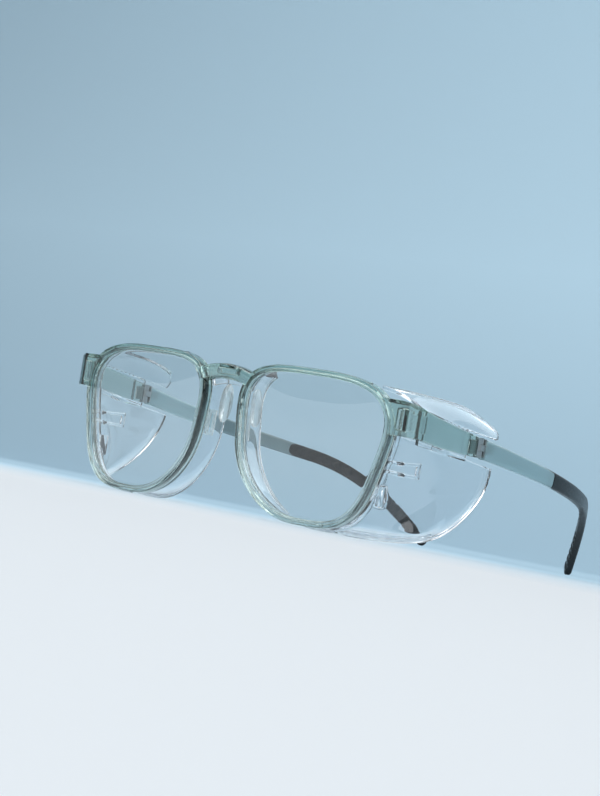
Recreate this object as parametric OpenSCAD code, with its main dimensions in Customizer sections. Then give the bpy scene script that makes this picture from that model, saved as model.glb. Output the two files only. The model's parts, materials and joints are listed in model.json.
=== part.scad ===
// Safety glasses with clear side shields and folding temples.
// Built in eyewear coordinates (X to the wearer's left, Y to the back, Z up, zero at the
// middle of the lenses), then moved so that the origin is under the middle of the glasses.

/* [Lenses and rims] */
// Width of each lens opening at mid-height
eye_w = 51.3; // [46:0.1:58]
// Height of each lens opening
eye_h = 42.7; // [34:0.1:50]
// Gap between the two lens openings at the nose
bridge_w = 20.6; // [16:0.2:24]
// Width of the rim round the opening, seen from the front
rim_w = 2.1; // [1.9:0.1:3.2]
// Depth of the rim, front to back
rim_d = 3.9; // [3.4:0.1:5]
// Thickness of each lens
lens_t = 2; // [1.6:0.1:2.4]
// How far the lens sits into its groove
groove_h = 1; // [0.6:0.1:1.2]
// Backward sweep of each lens in degrees
wrap_a = 4.6; // [0:0.1:8]
// How much wider the outer half of the opening is at its top than at mid-height, as a share
taper_out = 0.22; // [0:0.01:0.26]
// The same for the half beside the nose
taper_in = 0.11; // [0:0.01:0.2]
// Squareness of the top outer corner of the opening, where 2 is an ellipse
square_top_out = 2.9; // [2.2:0.1:4]
// Squareness of the top inner corner
square_top_in = 4.1; // [2.2:0.1:4.4]
// Squareness of the bottom outer corner
square_low_out = 3.9; // [2.2:0.1:4.2]
// Squareness of the bottom inner corner, beside the nose
square_low_in = 2.1; // [2:0.1:3]

/* [Bridge and arms] */
// Height of the bridge above the middle of the lenses, at its lower edge
bridge_z = 16.4; // [13:0.2:18]
// Height of the bridge bar at its middle
bridge_h = 4.8; // [3.6:0.1:6]
// Depth of the bridge bar
bridge_d = 3.8; // [3.2:0.1:4.6]
// Thickness of each arm and of the temple at the hinge
arm_t = 3; // [2.8:0.1:3.6]
// How far each hinge pin stands outside the widest part of its lens opening
hinge_out = 4.8; // [3.6:0.1:8]
// Hinge pin's distance behind the lens plane
hinge_y = 34.2; // [28:0.2:42]
// Hinge's height above the middle of the lenses
hinge_z = 7.9; // [5:0.1:9.5]
// Height of the arm at the hinge
hinge_h = 6.2; // [5.6:0.1:7.6]

/* [Temples] */
// Reach of the temple behind the hinge, measured straight back
temple_reach = 109.7; // [98:0.1:125]
// How far the tip lies inwards from the hinge
temple_inset = 40.2; // [20:0.2:44]
// How far the tip lies below the hinge
temple_drop = 37.4; // [26:0.2:44]
// Height of the temple near its tip
temple_tip_h = 4.1; // [3.8:0.1:5.4]
// Share of the temple's reach where the grey sleeve starts on the outer face
sleeve_out = 0.34; // [0.28:0.01:0.45]
// Share of the temple's reach where the sleeve closes round the inner face
sleeve_in = 0.6; // [0.5:0.01:0.7]

/* [Shields and nose] */
// Wall of the clear shields and of the shroud
shield_t = 1.1; // [0.9:0.1:1.4]
// Depth of the shroud behind the rim
skirt_d = 8.4; // [4:0.2:10]
// How far the lower side shield reaches behind the lens plane
shield_reach = 43.6; // [38:0.2:48]
// How far the top flap reaches behind the lens plane
flap_reach = 43.4; // [38:0.2:48]
// Height of the soft nose pads
pad_h = 12; // [9:0.5:14]

/* [Hinges] */
// Radius of the hinge screw
screw_r = 0.7; // [0.5:0.05:0.8]
// Radial play of the screw in the knuckles
screw_play = 0.05; // [0.02:0.01:0.08]

/* [Hidden] */
$fn = 48;

// Clearances
seat_gap = 0.05;        // pieces pushed or moulded into a pocket
shell_gap = 0.2;        // clear shells beside the frame
swing_gap = 0.5;        // shields above and below the folding temple
knuckle_gap = 0.1;      // between hinge knuckles along the screw

// Outline of the lens opening, seen from the front, in the lens's own plane
half_w = eye_w / 2;
half_h = eye_h / 2;
lens_x = half_w + bridge_w / 2;
outline_steps = 72;

function signed_pow(v, p) = sign(v) * pow(abs(v), p);
function squareness(a) = sin(a) >= 0
    ? (cos(a) >= 0 ? square_top_out : square_top_in)
    : (cos(a) >= 0 ? square_low_out : square_low_in);
function taper(a) = cos(a) >= 0 ? taper_out : taper_in;
function edge_z(a) = half_h * signed_pow(sin(a), 2 / squareness(a));
function edge_x(a) =
    half_w * signed_pow(cos(a), 2 / squareness(a)) * (1 + taper(a) * edge_z(a) / half_h);
function edge_point(a) = [edge_x(a), edge_z(a)];
function edge_normal(a) =
    let (d = edge_point(a + 0.5) - edge_point(a - 0.5))
    [d[1], -d[0]] / norm(d);
function grown_point(a, grow) = edge_point(a) + grow * edge_normal(a);
function outline(grow) =
    [for (i = [0 : outline_steps - 1]) grown_point(360 * i / outline_steps, grow)];
// A strip along the outline from angle a0 to a1, between two growths
function strip(a0, a1, grow_in, grow_out, steps) = concat(
    [for (i = [0 : steps]) grown_point(a0 + (a1 - a0) * i / steps, grow_out)],
    [for (i = [steps : -1 : 0]) grown_point(a0 + (a1 - a0) * i / steps, grow_in)]);

// From a point in the lens's plane to eyewear coordinates, y being the depth behind it
function lens_to_frame(x, y, z) = [
    lens_x + x * cos(wrap_a) - y * sin(wrap_a),
    x * sin(wrap_a) + y * cos(wrap_a),
    z];

// Front to back and top to bottom
rim_back = rim_d / 2;
bridge_front = -(lens_x * sin(wrap_a) + rim_back - 0.6);
hinge_x = lens_x + half_w * (1 + taper_out) + hinge_out;
arm_out = hinge_x + arm_t / 2;
arm_in = hinge_x - arm_t / 2;
knuckle_r = arm_t / 2 - 0.05;
arm_end_gap = knuckle_r + 0.5;
arm_end = hinge_y - arm_end_gap;
temple_start = hinge_y + arm_end_gap + 0.1;
hinge_half = hinge_h / 2;

// Shroud's skirt: it opens out a little to the back, most of all at the bottom
skirt_in = 0.2;
skirt_flare = 0.3;
skirt_drop = 1.4;
skirt_start = 130;
skirt_end = 280;
skirt_low = -(half_h + skirt_in + skirt_flare + skirt_drop + shield_t);

// Centre line of the temple, from the hinge back, as a function of y behind the hinge
temple_splay = 0.14;
inset_power = 2.24;
temple_slope = 0.166;
ear_start = 0.66;
ear_power = 2.34;
ear_drop = temple_drop - temple_slope * temple_reach;
function ear_share(y) = max(0, (y / temple_reach - ear_start) / (1 - ear_start));
function temple_x(y) = hinge_x + temple_splay * y
    - (temple_inset + temple_splay * temple_reach) * pow(max(y, 0) / temple_reach, inset_power);
function temple_z(y) = hinge_z - temple_slope * y - ear_drop * pow(ear_share(y), ear_power);
function temple_point(y) = [temple_x(y), hinge_y + y, temple_z(y)];
function unit(v) = v / norm(v);
function temple_dir(y) = unit(temple_point(y + 0.5) - temple_point(max(y - 0.5, 0)));
function temple_side(y) = unit(cross(temple_dir(y), [0, 0, 1]));
function temple_up(y) = cross(temple_side(y), temple_dir(y));
function temple_height(y) = temple_tip_h + (hinge_h - temple_tip_h) * pow(1 - y / temple_reach, 2);
function temple_width(y) = arm_t - 0.4 * min(1, y / 30);

// Rounded rectangle, as points round the middle, in width and height
corner_share = 0.35;
section_sides = 16;
function section_point(i, w, h) =
    let (a = 360 * i / section_sides + 180 / section_sides)
    [w / 2 * signed_pow(cos(a), corner_share), h / 2 * signed_pow(sin(a), corner_share)];

// Points of one ring of the temple: w and h are its size, off its shift to the outside
function temple_ring(y, w, h, off) =
    [for (i = [0 : section_sides - 1])
        let (p = section_point(i, w, h))
        temple_point(y) + temple_side(y) * (p[0] + off) + temple_up(y) * p[1]];

// Solid through a list of rings that have the same number of points
module loft(rings) {
    n = len(rings[0]);
    m = len(rings);
    points = [for (r = rings) each r];
    walls = [for (j = [0 : m - 2], i = [0 : n - 1])
        let (a = j * n + i, b = j * n + (i + 1) % n)
        each [[a, b, b + n], [a, b + n, a + n]]];
    near_cap = [[for (i = [n - 1 : -1 : 0]) i]];
    far_cap = [[for (i = [0 : n - 1]) (m - 1) * n + i]];
    polyhedron(points = points, faces = concat(near_cap, walls, far_cap), convexity = 6);
}

// Shapes in the eyewear frame
module upright(y0, y1) {
    translate([0, y1, 0])
        rotate([90, 0, 0])
            linear_extrude(y1 - y0)
                children();
}
module at_lens() {
    translate([lens_x, 0, 0])
        rotate([0, 0, wrap_a])
            children();
}
module block(low, high) {
    translate(low)
        cube(high - low);
}
module mirrored(side) {
    if (side > 0) children();
    else mirror([1, 0, 0]) children();
}
module both_sides() {
    children();
    mirror([1, 0, 0]) children();
}

// The glasses stand on the skirts and the temple tips, so the whole model is tipped until
// both touch z = 0, and moved until the middle of its box is over the origin
last_ring = temple_ring(temple_reach, temple_width(temple_reach), temple_tip_h, 0);
tip_low = min([for (p = last_ring) p[2]]);
stand_tilt = atan((skirt_low - tip_low) / (hinge_y + temple_reach - rim_back - skirt_d));
function tipped_y(p) = p[1] * cos(stand_tilt) - p[2] * sin(stand_tilt);
function tipped_z(p) = p[1] * sin(stand_tilt) + p[2] * cos(stand_tilt);
front_y = tipped_y([0, bridge_front, bridge_z + bridge_h]);
back_y = max([for (p = last_ring) tipped_y(p)]);
lift_z = -min([for (p = last_ring) tipped_z(p)]);
module placed(paint, alpha = 1) {
    color(paint, alpha)
        translate([0, -(front_y + back_y) / 2, lift_z])
            rotate([stand_tilt, 0, 0])
                children();
}

// Arm that turns the corner from the rim and runs back to the hinge
corner_y = 3;
arm_turn = 6;
module arm() {
    corner_x = arm_out - 5.2;
    front_x = lens_x + half_w * 0.9;
    lens_slope = tan(wrap_a);
    front_at = lens_slope * (corner_x - lens_x) - rim_back;
    plan = [
        [front_x, lens_slope * (front_x - lens_x) - rim_back],
        [corner_x - 0.8, front_at - 0.05],
        [corner_x, front_at + 0.3],
        [arm_out - 1.5, corner_y],
        [arm_out - 0.3, corner_y + 1.5],
        [arm_out, arm_turn],
        [arm_out, arm_end],
        [arm_in, arm_end],
        [arm_in, arm_turn + 2.5],
        [arm_in - 0.6, arm_turn + 0.6],
        [arm_in - 1.6, lens_slope * (arm_in - 1.6 - lens_x) + rim_back],
        [front_x, lens_slope * (front_x - lens_x) + rim_back]];
    top_z = hinge_z + hinge_half;
    low_z = hinge_z - hinge_half;
    side = [
        [-5, top_z + 8], [corner_y - 1, top_z + 6.8], [arm_turn, top_z + 5.1],
        [12, top_z + 3.8], [arm_end, top_z], [arm_end, low_z], [23, low_z + 0.6],
        [13, low_z + 1.5], [arm_turn, low_z + 2.5], [-5, low_z + 3.1]];
    face_top = [
        [front_x, low_z], [arm_out + 1, low_z - 1], [arm_out + 1, top_z + 6],
        [corner_x, top_z + 7], [corner_x - 6, top_z + 8.4], [front_x, top_z + 9.4]];
    intersection() {
        translate([0, 0, low_z - 1])
            linear_extrude(hinge_h + 12)
                polygon(plan);
        translate([front_x - 1, 0, 0])
            rotate([90, 0, 90])
                linear_extrude(arm_out - front_x + 2)
                    polygon(side);
        upright(-8, arm_end + 1)
            polygon(face_top);
    }
}

// Bridge: a flat arch that blends into the inner top corners of the rims
bridge_steps = 12;
bridge_half = bridge_w / 2 + 4;
bridge_back = bridge_front + bridge_d;
function bridge_low(x) = bridge_z - 3.2 * pow(abs(x) / bridge_half, 2.2);
function bridge_high(x) = bridge_z + bridge_h - 3 * pow(abs(x) / bridge_half, 1.8);
module bridge() {
    top = [for (i = [-bridge_steps : bridge_steps])
        let (x = bridge_half * i / bridge_steps) [x, bridge_high(x)]];
    under = [for (i = [bridge_steps : -1 : -bridge_steps])
        let (x = bridge_half * i / bridge_steps) [x, bridge_low(x)]];
    upright(bridge_front, bridge_back)
        polygon(concat(top, under));
}
// Pocket in the back of the bridge, which takes the shroud's lug
lug_w = 8;
lug_h = 1.8;
lug_z = bridge_z + bridge_h / 2;
lug_front = bridge_back - bridge_d * 0.45;
module bridge_lug(gap) {
    block([-lug_w / 2 - gap, lug_front - gap, lug_z - lug_h / 2 - gap],
          [lug_w / 2 + gap, strap_front + 0.6, lug_z + lug_h / 2 + gap]);
}
// Slot in the back of each corner, which takes the side shield's lug
latch_x = arm_in - 3.2;
latch_w = 1.8;
latch_z0 = hinge_z + 1.4;
latch_h = 6.2;
latch_front = 2.2;
latch_back = arm_turn + 3.4;
module latch_lug(gap, back) {
    block([latch_x - latch_w / 2 - gap, latch_front - gap, latch_z0 - gap],
          [latch_x + latch_w / 2 + gap, back, latch_z0 + latch_h + gap]);
}
// Tang of the front hinge, moulded into the end of the arm
tang_t = 1.2;
tang_h = 4.2;
tang_l = 3;
module front_tang(gap) {
    block([hinge_x - tang_t / 2 - gap, arm_end - tang_l - gap, hinge_z - tang_h / 2 - gap],
          [hinge_x + tang_t / 2 + gap, arm_end + 0.1, hinge_z + tang_h / 2 + gap]);
}

module front_frame() {
    placed("#8fb9bd", 0.6)
        difference() {
            union() {
                both_sides() {
                    at_lens() upright(-rim_back, rim_back) polygon(outline(rim_w));
                    arm();
                }
                bridge();
            }
            both_sides() {
                at_lens() upright(-rim_d * 2, rim_d * 2) polygon(outline(0));
                at_lens()
                    upright(-lens_t / 2 - seat_gap, lens_t / 2 + seat_gap)
                        polygon(outline(groove_h));
                latch_lug(seat_gap, 12);
                front_tang(seat_gap);
            }
            bridge_lug(seat_gap);
        }
}

module lens(side) {
    placed("#dceef2", 0.35)
        mirrored(side)
            at_lens()
                upright(-lens_t / 2, lens_t / 2)
                    polygon(outline(groove_h - seat_gap));
}

// Clear shroud behind both rims: a ring and a deep skirt round each eye, and a strap
ring_t = 1.4;
ring_lap = 0.1;
skirt_steps = (skirt_end - skirt_start) * outline_steps / 360;
function skirt_rear_grow(a) = skirt_in + skirt_flare + skirt_drop * pow(max(0, -sin(a)), 4);
function skirt_ring(a) =
    let (
        front = rim_back + shell_gap + ring_lap,
        rear = rim_back + skirt_d,
        pin = grown_point(a, skirt_in + ring_lap),
        pout = grown_point(a, skirt_in + shield_t - ring_lap),
        rin = grown_point(a, skirt_rear_grow(a)),
        rout = grown_point(a, skirt_rear_grow(a) + shield_t))
    [
        lens_to_frame(pin[0], front, pin[1]),
        lens_to_frame(rin[0], rear, rin[1]),
        lens_to_frame(rout[0], rear, rout[1]),
        lens_to_frame(pout[0], front, pout[1])];
strap_half = bridge_w / 2 + 1.6;
strap_front = lens_to_frame(-half_w, rim_back + shell_gap, 0)[1] + 0.3;
function strap_low(x) = bridge_z - 1.4 - 2.6 * pow(abs(x) / strap_half, 2.2);
function strap_high(x) = bridge_z + bridge_h - 1 - 1.6 * pow(abs(x) / strap_half, 1.8);
module strap() {
    top = [for (i = [-bridge_steps : bridge_steps])
        let (x = strap_half * i / bridge_steps) [x, strap_high(x)]];
    under = [for (i = [bridge_steps : -1 : -bridge_steps])
        let (x = strap_half * i / bridge_steps) [x, strap_low(x)]];
    difference() {
        upright(strap_front, strap_front + shield_t)
            polygon(concat(top, under));
        both_sides()
            at_lens()
                upright(-rim_d, rim_d + skirt_d)
                    polygon(outline(skirt_in + 0.2));
    }
}
module inner_shroud() {
    placed("#e6f2f2", 0.4)
        union() {
            both_sides() {
                at_lens()
                    upright(rim_back + shell_gap, rim_back + shell_gap + ring_t)
                        difference() {
                            polygon(outline(skirt_in + shield_t));
                            polygon(outline(skirt_in));
                        }
                loft([for (i = [0 : skirt_steps])
                    skirt_ring(skirt_start + (skirt_end - skirt_start) * i / skirt_steps)]);
            }
            strap();
            bridge_lug(0);
        }
}

// Side shield: top flap, web inside the arm and a deep lower panel, all one clear moulding.
// Each sheet is a grid of points; sheet() gives it thickness along x and z.
web_x = arm_in - shell_gap - shield_t / 2;
web_front = latch_back - 0.2;
web_end = arm_end - 0.8;
swing_top = hinge_z + hinge_half + swing_gap + shield_t / 2;
swing_low = hinge_z - hinge_half - swing_gap - shield_t / 2;
panel_depth = rim_back + shell_gap + ring_t + 0.8;

// Solid sheet through rows of points, each row being pushed along normal n(row, column)
module sheet(rows, t) {
    m = len(rows);
    n = len(rows[0]);
    function at(j, i) = rows[max(0, min(m - 1, j))][max(0, min(n - 1, i))];
    function push(j, i) = unit(cross(at(j, i + 1) - at(j, i - 1), at(j + 1, i) - at(j - 1, i)));
    front = [for (j = [0 : m - 1], i = [0 : n - 1]) rows[j][i] + push(j, i) * t / 2];
    back = [for (j = [0 : m - 1], i = [0 : n - 1]) rows[j][i] - push(j, i) * t / 2];
    k = m * n;
    skin = [for (j = [0 : m - 2], i = [0 : n - 2])
        let (a = j * n + i, b = a + 1, c = b + n, d = a + n)
        each [[a, c, b], [a, d, c], [k + a, k + b, k + c], [k + a, k + c, k + d]]];
    sides = [for (j = [0 : m - 2])
        let (a = j * n, d = a + n, b = j * n + n - 1, c = b + n)
        each [[a, k + d, d], [a, k + a, k + d], [b, c, k + c], [b, k + c, k + b]]];
    ends = [for (i = [0 : n - 2])
        let (a = i, b = i + 1, d = (m - 1) * n + i, c = d + 1)
        each [[a, b, k + b], [a, k + b, k + a], [d, k + c, c], [d, k + d, k + c]]];
    polyhedron(points = concat(front, back), faces = concat(skin, sides, ends), convexity = 6);
}

// Lower panel: s runs down and round from the arm to the skirt, u back from the rim
panel_rows = 14;
panel_cols = 12;
panel_a0 = 13;
panel_a1 = -77;
panel_grow = 1.7;
edge_power = 2 / 1.68;
edge_front_y = rim_back + skirt_d;
panel_top_z = swing_low - temple_slope * (shield_reach - hinge_y) - 0.2;
panel_side_x = web_x + 1.2;
function rim_side(s) =
    let (p = grown_point(panel_a0 + (panel_a1 - panel_a0) * s, panel_grow))
    lens_to_frame(p[0], panel_depth, p[1]);
function free_edge(s) =
    let (
        back = pow(cos(90 * s), edge_power),
        down = pow(sin(90 * s), edge_power),
        end = rim_side(1))
    [
        panel_side_x - 0.8 * (1 - min(1, s * 4)) - (panel_side_x - end[0] - 1) * pow(1 - back, 6),
        edge_front_y + (shield_reach - edge_front_y) * back,
        panel_top_z + (skirt_low + shield_t / 2 - panel_top_z) * down];
function panel_point(s, u) =
    let (
        a = rim_side(s),
        b = free_edge(s),
        lead = sin(90 * min(1, u * (1.8 - 0.8 * s))))
    [a[0] + (b[0] - a[0]) * lead, a[1] + (b[1] - a[1]) * u, a[2] + (b[2] - a[2]) * u];
module lower_panel() {
    sheet([for (j = [0 : panel_rows])
        [for (i = [0 : panel_cols]) panel_point(j / panel_rows, i / panel_cols)]],
        shield_t);
}

// Top flap: v runs up from the arm to the free edge, u back from the brow
flap_rows = 6;
flap_cols = 14;
flap_base_front = hinge_z + 7.8;
function flap_base(u) =
    let (y = web_front + (flap_reach - web_front) * u)
    [
        web_x + 1.8 * pow(u, 3),
        y,
        max(flap_base_front - 5 * u, swing_top - 0.12 * max(0, y - hinge_y))];
function flap_edge(u) = [
    web_x - 13.6 + 11 * (1 - pow(1 - u, 3.6)),
    panel_depth + 0.6 + (flap_reach - 3.6 - panel_depth) * u,
    half_h - 0.4 - 2 * u - 3 * pow(u, 5)];
function flap_point(v, u) =
    let (
        a = flap_base(u),
        b = flap_edge(u),
        swell = sin(180 * v),
        p = a + (b - a) * v)
    [p[0] + 0.8 * swell, p[1] + 1.8 * swell * pow(u, 4), p[2] + 0.8 * swell * (1 - u)];
module top_flap() {
    sheet([for (j = [0 : flap_rows])
        [for (i = [0 : flap_cols]) flap_point(j / flap_rows, i / flap_cols)]],
        shield_t);
}

// Flat web that joins flap and panel inside the arm
module web() {
    low_front = panel_point(0, 0.15)[2] - 1;
    low_back = panel_point(0, 0.65)[2] - 0.6;
    points = [
        [web_front - 1, low_front], [web_end, low_back],
        [web_end, swing_top], [web_front - 1, flap_base_front]];
    translate([web_x - shield_t / 2, 0, 0])
        rotate([90, 0, 90])
            linear_extrude(shield_t)
                polygon(points);
}

// Flange behind the rim's outer side, with its square tab and the forked catch
tab_z0 = -14;
tab_h = 6.5;
catch_l = 13;
catch_bar = 1;
catch_h = 3.8;
function side_x(z) =
    lens_x + 1.8 + half_w * (1 + taper_out * z / half_h)
    * pow(1 - pow(abs(z) / half_h, square_low_out), 1 / square_low_out);
// The flange follows the outline's own steps, so it keeps its gap to the shroud's ring
flange_a0 = -75;
flange_a1 = 20;
flange_t = 0.9;
flange_steps = (flange_a1 - flange_a0) * outline_steps / 360;
flange_grow = skirt_in + shield_t + shell_gap;
module flange() {
    at_lens()
        upright(rim_back + shell_gap, panel_depth + 0.4)
            polygon(strip(flange_a0, flange_a1, flange_grow, flange_grow + flange_t, flange_steps));
}
// The tab and the catch stand just behind the shroud's ring, wherever the wrap puts it
ring_back = lens_to_frame(half_w + skirt_in + shield_t, rim_back + shell_gap + ring_t, 0)[1];
module tab() {
    x = side_x(tab_z0 + tab_h / 2) + 0.6;
    y = ring_back + 0.05;
    block([x - 1.6, y, tab_z0], [x + 0.2, y + 3.6, tab_z0 + tab_h]);
}
module forked_catch() {
    x = side_x(0) - 0.4;
    y0 = ring_back + 0.25;
    for (z = [-catch_h, -catch_bar])
        block([x, y0, z], [x + 1.1, y0 + catch_l, z + catch_bar]);
    block([x, y0 + catch_l - 1.2, -catch_h], [x + 1.1, y0 + catch_l, 0]);
}
module latch_arm() {
    union() {
        latch_lug(0, latch_back);
        block([latch_x - latch_w / 2, latch_back - 1.2, latch_z0],
              [web_x + shield_t / 2, latch_back, latch_z0 + latch_h - 1]);
    }
}
module side_shield(side) {
    placed("#dfeaf2", 0.35)
        mirrored(side)
            union() {
                lower_panel();
                top_flap();
                web();
                flange();
                tab();
                forked_catch();
                latch_arm();
            }
}

// Soft nose pad on the nose side of the skirt, held by a small clip
pad_t = 1.4;
pad_d = 4.6;
pad_y = rim_back + skirt_d * 0.72;
pad_z = 9;
clip_t = 0.8;
clip_h = 8;
clip_d = 3;
clip_y = rim_back + shell_gap + 0.05 - pad_y;
clip_z = 2.4;
nose_gap = 0.1;
pad_tilt = -4;
function nasal_x(z) =
    -half_w * (1 + taper_in * z / half_h)
    * pow(1 - pow(abs(z) / half_h, square_top_in), 1 / square_top_in);
module at_nose(z) {
    at_lens()
        translate([nasal_x(z) - skirt_in - skirt_flare - shield_t - nose_gap, pad_y, z])
            rotate([0, pad_tilt, 0])
                children();
}
module nose_pad(side) {
    placed("#c9dadb", 0.6)
        mirrored(side)
            at_nose(pad_z)
                rotate([0, -90, 0])
                    linear_extrude(pad_t)
                        scale([pad_h / pad_d, 1])
                            circle(d = pad_d);
}
module nose_pad_clip(side) {
    placed("#f2f7f7", 0.6)
        mirrored(side)
            at_nose(clip_z)
                translate([-clip_t, clip_y, -clip_h / 2])
                    difference() {
                        cube([clip_t, clip_d, clip_h]);
                        translate([-1, 0.8, 1])
                            cube([clip_t + 2, clip_d - 1.6, clip_h - 2]);
                    }
}

// Hinge: two knuckles on the arm, one on the temple, and one screw through all three
outer_knuckle_h = 2;
inner_knuckle_half = hinge_half - 0.05 - outer_knuckle_h - knuckle_gap;
plate_t = 0.4;
plate_back = temple_start - plate_t;
module knuckle(z0, z1) {
    translate([hinge_x, hinge_y, z0])
        cylinder(r = knuckle_r, h = z1 - z0);
}
module screw_hole() {
    translate([hinge_x, hinge_y, hinge_z - hinge_h])
        cylinder(r = screw_r + screw_play, h = hinge_h * 2);
}
head_r = 1.1;
head_h = 0.7;
module head_recess(gap) {
    translate([hinge_x, hinge_y, hinge_z + hinge_half - 0.05 - head_h - gap])
        cylinder(r = head_r + gap, h = head_h + 1);
}
module front_hinge(side) {
    top = hinge_z + hinge_half - 0.05;
    low = hinge_z - hinge_half + 0.05;
    placed("#3f4648")
        mirrored(side)
            difference() {
                union() {
                    front_tang(0);
                    block([hinge_x - knuckle_r, arm_end, low],
                          [hinge_x + knuckle_r, arm_end + plate_t, top]);
                    for (z = [low, top - outer_knuckle_h]) {
                        knuckle(z, z + outer_knuckle_h);
                        block([hinge_x - knuckle_r + 0.1, arm_end, z],
                              [hinge_x + knuckle_r - 0.1, hinge_y, z + outer_knuckle_h]);
                    }
                }
                screw_hole();
                head_recess(screw_play);
            }
}
module rear_tang(gap) {
    block([hinge_x - tang_t / 2 - gap, temple_start - 0.1, hinge_z - 1.4 - gap],
          [hinge_x + tang_t / 2 + gap, temple_start + 4 + gap, hinge_z + 1.2 + gap]);
}
module rear_hinge(side) {
    placed("#3f4648")
        mirrored(side)
            difference() {
                union() {
                    knuckle(hinge_z - inner_knuckle_half, hinge_z + inner_knuckle_half);
                    block([hinge_x - knuckle_r + 0.1, hinge_y, hinge_z - inner_knuckle_half],
                          [hinge_x + knuckle_r - 0.1, temple_start, hinge_z + inner_knuckle_half]);
                    block([hinge_x - knuckle_r + 0.1, plate_back, hinge_z - hinge_half + 0.4],
                          [hinge_x + knuckle_r - 0.1, temple_start, hinge_z + hinge_half - 0.4]);
                    rear_tang(0);
                }
                screw_hole();
            }
}
module hinge_screw(side) {
    placed("#9aa3a6")
        mirrored(side)
            union() {
                translate([hinge_x, hinge_y, hinge_z - hinge_half + 0.05])
                    cylinder(r = screw_r, h = hinge_h - head_h);
                translate([hinge_x, hinge_y, hinge_z + hinge_half - 0.05 - head_h])
                    cylinder(r = head_r, h = head_h);
            }
}

// Temple: full section as far as the sleeve, then its inner half, then a thin core
core_wall = 0.7;
outer_y = sleeve_out * temple_reach;
inner_y = sleeve_in * temple_reach;
blend_y = 2;
core_end = temple_reach - 3;
first_y = temple_start - hinge_y;
function stations(y0, y1, n) = [for (i = [0 : n]) y0 + (y1 - y0) * i / n];
shared_stations = concat(stations(outer_y, inner_y, 10), stations(inner_y + blend_y, core_end, 14));
// Core section at y, grown all round by gap: the inner half first, then a thin core
function core_ring(y, gap) =
    let (
        w = temple_width(y),
        h = temple_height(y),
        blend = min(1, max(0, (y - inner_y) / blend_y)),
        half_section = [w / 2 + 0.5, h + 0.8, -w / 4 - 0.25],
        thin_section = [w - 2 * core_wall, h - 2 * core_wall, 0],
        s = half_section * (1 - blend) + thin_section * blend)
    temple_ring(y, s[0] + 2 * gap, s[1] + 2 * gap, s[2]);
module temple_body(list) {
    loft([for (y = list) temple_ring(y, temple_width(y), temple_height(y), 0)]);
}
module temple_core(list, gap) {
    loft([for (y = list) core_ring(y, gap)]);
}
module temple(side) {
    placed("#83a2aa", 0.7)
        mirrored(side)
            difference() {
                union() {
                    temple_body(stations(first_y - 0.8, outer_y, 12));
                    intersection() {
                        temple_core(concat([outer_y - 1], shared_stations), 0);
                        temple_body(concat([outer_y - 1], shared_stations, [temple_reach]));
                    }
                }
                rear_tang(seat_gap);
                block([hinge_x - arm_t, hinge_y - 1, hinge_z - hinge_h],
                      [hinge_x + arm_t, temple_start, hinge_z + hinge_h]);
            }
}
module temple_sleeve(side) {
    placed("#4a4e52")
        mirrored(side)
            difference() {
                temple_body(concat(shared_stations, [temple_reach]));
                temple_core(concat([outer_y - 1], shared_stations, [core_end + seat_gap]), seat_gap);
            }
}

front_frame();
lens(1);  // lens_left
lens(-1);  // lens_right
inner_shroud();
side_shield(1);  // side_shield_left
side_shield(-1);  // side_shield_right
nose_pad(1);  // nose_pad_left
nose_pad(-1);  // nose_pad_right
nose_pad_clip(1);  // nose_pad_clip_left
nose_pad_clip(-1);  // nose_pad_clip_right
front_hinge(1);  // front_hinge_left
front_hinge(-1);  // front_hinge_right
rear_hinge(1);  // rear_hinge_left
rear_hinge(-1);  // rear_hinge_right
hinge_screw(1);  // hinge_screw_left
hinge_screw(-1);  // hinge_screw_right
temple(1);  // temple_left
temple(-1);  // temple_right
temple_sleeve(1);  // temple_sleeve_left
temple_sleeve(-1);  // temple_sleeve_right
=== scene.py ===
import json
import math

import bmesh
import bpy
import numpy as np
from mathutils import Matrix, Vector


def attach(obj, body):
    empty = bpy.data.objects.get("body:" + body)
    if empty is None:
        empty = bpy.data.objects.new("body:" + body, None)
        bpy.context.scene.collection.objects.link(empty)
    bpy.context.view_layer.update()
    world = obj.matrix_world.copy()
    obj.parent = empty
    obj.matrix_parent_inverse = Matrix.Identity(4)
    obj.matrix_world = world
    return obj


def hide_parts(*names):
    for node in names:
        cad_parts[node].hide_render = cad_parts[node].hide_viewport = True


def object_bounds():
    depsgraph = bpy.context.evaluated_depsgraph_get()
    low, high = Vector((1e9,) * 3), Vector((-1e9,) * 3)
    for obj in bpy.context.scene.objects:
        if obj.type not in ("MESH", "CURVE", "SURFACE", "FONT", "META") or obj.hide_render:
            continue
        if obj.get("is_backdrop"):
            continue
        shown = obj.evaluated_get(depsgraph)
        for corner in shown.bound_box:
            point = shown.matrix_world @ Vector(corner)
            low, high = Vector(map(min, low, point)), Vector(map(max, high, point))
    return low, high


# Safety glasses. Shapes are worked out in eyewear coordinates, in millimetres: X to the wearer's
# left, Y to the back, Z up, zero at the middle of the lenses. to_row() puts them in the CAD frame.

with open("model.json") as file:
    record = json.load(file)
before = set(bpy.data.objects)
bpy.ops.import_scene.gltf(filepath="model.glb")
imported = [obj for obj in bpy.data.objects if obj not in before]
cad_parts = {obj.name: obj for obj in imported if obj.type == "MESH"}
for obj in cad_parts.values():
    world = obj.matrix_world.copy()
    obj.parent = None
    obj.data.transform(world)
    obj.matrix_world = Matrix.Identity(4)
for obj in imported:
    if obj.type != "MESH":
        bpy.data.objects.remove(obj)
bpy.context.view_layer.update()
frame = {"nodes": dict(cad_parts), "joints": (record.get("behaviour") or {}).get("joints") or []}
MM = 0.001

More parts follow.
